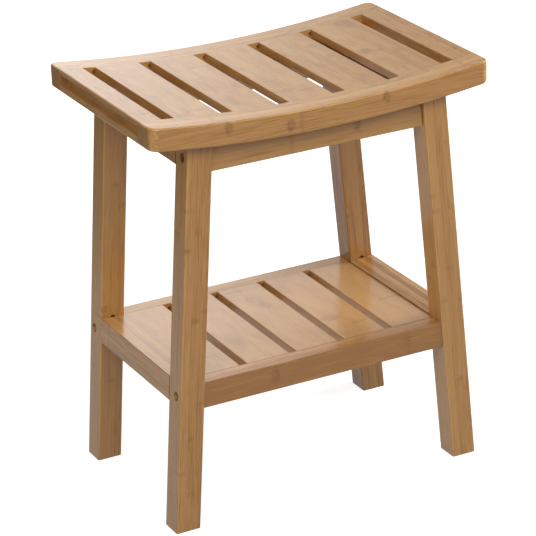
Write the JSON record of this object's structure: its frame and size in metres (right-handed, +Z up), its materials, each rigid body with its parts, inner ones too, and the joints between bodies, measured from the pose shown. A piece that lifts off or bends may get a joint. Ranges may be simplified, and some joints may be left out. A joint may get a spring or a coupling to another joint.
{
  "type": "bench",
  "caption": "Small slatted bamboo bench with a saddle seat, splayed legs, finger grips in its ends and a low slatted shelf.",
  "frame": {"origin": "on the floor, under the middle of the seat (bottom centre of the bounding box)", "axes": "+X along the seat to the right end, +Y to the rear, +Z up"},
  "size_m": [0.39, 0.25, 0.4547],
  "materials": {
    "bamboo_seat": "clear satin lacquer over carbonised bamboo",
    "bamboo_frame": "clear satin lacquer over carbonised bamboo",
    "bamboo_shelf": "clear satin lacquer over carbonised bamboo",
    "fastener_steel": "zinc plated"
  },
  "bodies": {
    "root": {"seat_rail_front": "bamboo_seat", "seat_rail_rear": "bamboo_seat", "seat_end_slat_left": "bamboo_seat", "seat_end_slat_right": "bamboo_seat", "seat_slat_1": "bamboo_seat", "seat_slat_2": "bamboo_seat", "seat_slat_3": "bamboo_seat", "seat_slat_4": "bamboo_seat", "seat_slat_5": "bamboo_seat", "leg_front_left": "bamboo_frame", "leg_front_right": "bamboo_frame", "leg_rear_left": "bamboo_frame", "leg_rear_right": "bamboo_frame", "end_apron_left": "bamboo_frame", "end_apron_right": "bamboo_frame", "long_apron_front": "bamboo_frame", "long_apron_rear": "bamboo_frame", "shelf_end_rail_left": "bamboo_frame", "shelf_end_rail_right": "bamboo_frame", "shelf_rail_front": "bamboo_shelf", "shelf_rail_rear": "bamboo_shelf", "shelf_slat_1": "bamboo_shelf", "shelf_slat_2": "bamboo_shelf", "shelf_slat_3": "bamboo_shelf", "shelf_slat_4": "bamboo_shelf", "shelf_slat_5": "bamboo_shelf", "apron_bolts": "fastener_steel", "shelf_bolts": "fastener_steel", "apron_barrel_nuts": "fastener_steel", "shelf_barrel_nuts": "fastener_steel", "seat_screws": "fastener_steel"}
  },
  "joints": []
}
